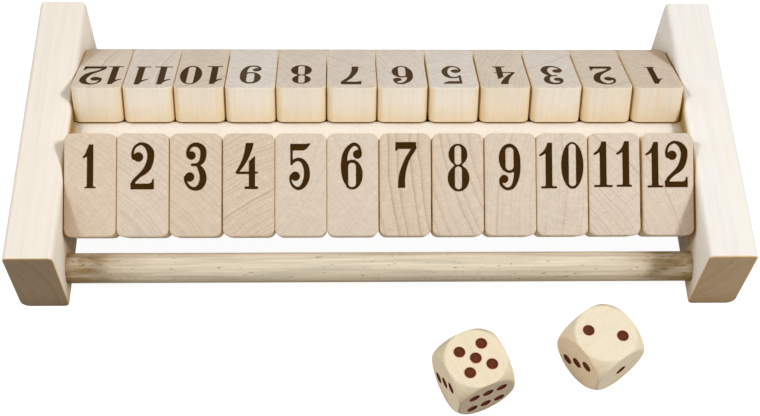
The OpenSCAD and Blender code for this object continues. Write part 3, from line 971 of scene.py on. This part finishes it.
for name, (over, yaw, ball_r, soft, grain, tone, pale) in DICE.items():
    low, high = box_mm(name)
    half = (high[2] - low[2]) / 2
    shell = Shell()
    for turn, spots in DIE_FACES:
        shell.absorb(die_face(half, ball_r, soft, spots), turn)
    wood = (grain, (30, -50), 2.4, 0.25, tone, pale, 900)
    turn = spin("Z", yaw) @ spin("X", over)
    piece = build(name + "_wood", shell, turn, (low + high) / 2, wood, [lime, stain])
    stand_for(piece, name, name)

# ---- table top, light and camera ----

FILL = 0.14  # strength of the light from all round
# each lamp's bearing, height, strength and spread
LAMPS = {"main_lamp_left": (-78, 54, 1.22, 9), "main_lamp_right": (78, 50, 2.02, 9),
         "side_lamp_left": (-88, 30, 0.62, 40), "side_lamp_right": (88, 24, 0.4, 50)}
LAMP_COLOUR = "#F7FAFF"
# the camera's place from the rack's middle, its angles in degrees, its lens and its sensor's width
CAMERA_FROM_RACK = (-18.2, -321.1, 488.2)
CAMERA_PITCH, CAMERA_YAW, CAMERA_ROLL = 58.105, -3.533, 2.866
CAMERA_LENS, CAMERA_SENSOR = 61.84, 36.0


def rack_middle():
    """The point of the table that the rack stands over."""
    rails = middle_of("side_rail_left") + middle_of("side_rail_right")
    return rails / 2 * (0, 1, 0)


def make_floor():
    """A white table top that keeps a soft shadow. The camera and glossy surfaces see it lit by
    itself too, which fills the shadow in, less so where little sky is in sight. Behind the rack's
    front row, where little sky is in sight, that light is left out and the card turns dark warm
    brown: painted shade."""
    material, tree, shader = new_material("white_card_matt", roughness=0.9, shine=0.1)
    output = [n for n in tree.nodes if n.type == "OUTPUT_MATERIAL"][0]
    spot = node(tree, "TexCoord", out=3)
    tooth = node(tree, "TexNoise", {"Vector": spot, "Scale": CARD_TOOTH_PER_M})
    tooth = node(tree, "Bump", {"Height": tooth, "Strength": 0.05, "Distance": 0.1 * MM})
    shader.inputs["Base Color"].default_value = srgb("#A69C8A")
    tree.links.new(tooth, shader.inputs["Normal"])
    path = node(tree, "LightPath").node.outputs
    seen = node(tree, "Math", {0: path["Is Camera Ray"], 1: path["Is Glossy Ray"]}, operation="MAXIMUM")
    sky = node(tree, "AmbientOcclusion", {"Distance": 80 * MM}, out=1, samples=16)
    sky = node(tree, "MapRange", {0: sky, 1: 0.25, 2: 0.55})
    _, y, _ = node(tree, "SeparateXYZ", {0: spot}).node.outputs
    dark, lit = ((rack_middle()[1] + y_from_middle) * MM for y_from_middle in SHADE_ENDS)
    before = node(tree, "MapRange", {0: y, 1: dark, 2: lit})
    glow = node(tree, "Math", {0: sky, 1: before}, operation="MAXIMUM")
    # painted shade: where the glow is left out, the card's colour turns dark warm brown
    card_and_painted_shade = node(tree, "Mix", {0: glow, 6: "#6E5432", 7: "#8A8A8A"}, **MIXED)
    card_and_painted_shade = node(tree, "BsdfDiffuse", {"Color": card_and_painted_shade})
    glow = node(tree, "MapRange", {0: glow, 3: 0.0, 4: 0.95})
    glow = node(tree, "Emission", {"Color": "#FFFFFF", "Strength": glow})
    shown = node(tree, "AddShader", {0: card_and_painted_shade, 1: glow})
    mixed = node(tree, "MixShader", {0: seen, 1: shader.outputs[0], 2: shown})
    tree.links.new(mixed, output.inputs["Surface"])
    mesh = bpy.data.meshes.new("table_top")
    half = TABLE_HALF * MM
    corners = [(-half, -half, 0), (half, -half, 0), (half, half, 0), (-half, half, 0)]
    mesh.from_pydata(corners, [], [(0, 1, 2, 3)])
    mesh.materials.append(material)
    floor = bpy.data.objects.new("table_top", mesh)
    bpy.context.scene.collection.objects.link(floor)


def make_world():
    """Even fill from all round. The camera sees white instead, straight or through clear things."""
    world = bpy.data.worlds.new("studio")
    bpy.context.scene.world = world
    world.use_nodes = True
    tree = world.node_tree
    tree.nodes.clear()
    path = node(tree, "LightPath").node.outputs
    seen = node(tree, "Math", {0: path["Is Camera Ray"], 1: path["Is Transmission Ray"]},
                operation="MAXIMUM")
    fill = node(tree, "Background", {"Color": "#FFEFD6", "Strength": FILL})
    white = node(tree, "Background", {"Color": "#FFFFFF", "Strength": 1.0})
    mixed = node(tree, "MixShader", {0: seen, 1: fill, 2: white})
    node(tree, "OutputWorld", {"Surface": mixed})


def make_lamp(name, bearing, height, strength, spread):
    """A soft, even lamp far off: bearing is its compass angle from the front, towards +X, and
    height its angle above the table; spread is the angle that it fills, which softens shadows."""
    light = bpy.data.lights.new(name, "SUN")
    light.energy = strength
    light.color = srgb(LAMP_COLOUR)[:3]
    light.angle = math.radians(spread)
    lamp = bpy.data.objects.new(name, light)
    bpy.context.scene.collection.objects.link(lamp)
    b, h = math.radians(bearing), math.radians(height)
    towards = Vector((math.sin(b) * math.cos(h), -math.cos(b) * math.cos(h), math.sin(h)))
    lamp.rotation_mode = "QUATERNION"
    lamp.rotation_quaternion = towards.to_track_quat("Z", "Y")


make_floor()
make_world()
for name, (bearing, height, strength, spread) in LAMPS.items():
    make_lamp(name, bearing, height, strength, spread)


def make_camera():
    """Looks down at the rack: pitch below the horizon, yaw about the vertical, then roll."""
    pitch, yaw, roll = (math.radians(a) for a in (CAMERA_PITCH, CAMERA_YAW, CAMERA_ROLL))
    ahead = Vector((0, math.cos(pitch), -math.sin(pitch)))
    up = Vector((0, math.sin(pitch), math.cos(pitch)))
    about_z = Matrix.Rotation(yaw, 3, "Z")
    ahead, up, right = about_z @ ahead, about_z @ up, about_z @ Vector((1, 0, 0))
    right, up = (math.cos(roll) * right + math.sin(roll) * up, math.cos(roll) * up - math.sin(roll) * right)
    data = bpy.data.cameras.new("camera")
    data.sensor_fit = "HORIZONTAL"
    data.sensor_width = CAMERA_SENSOR
    data.lens = CAMERA_LENS
    data.clip_start = 10 * MM
    camera = bpy.data.objects.new("camera", data)
    bpy.context.scene.collection.objects.link(camera)
    place = (rack_middle() + CAMERA_FROM_RACK) * MM
    camera.matrix_world = Matrix.Translation(place) @ Matrix((right, up, -ahead)).transposed().to_4x4()
    bpy.context.scene.camera = camera


make_camera()
bpy.context.scene.view_settings.view_transform = "Standard"
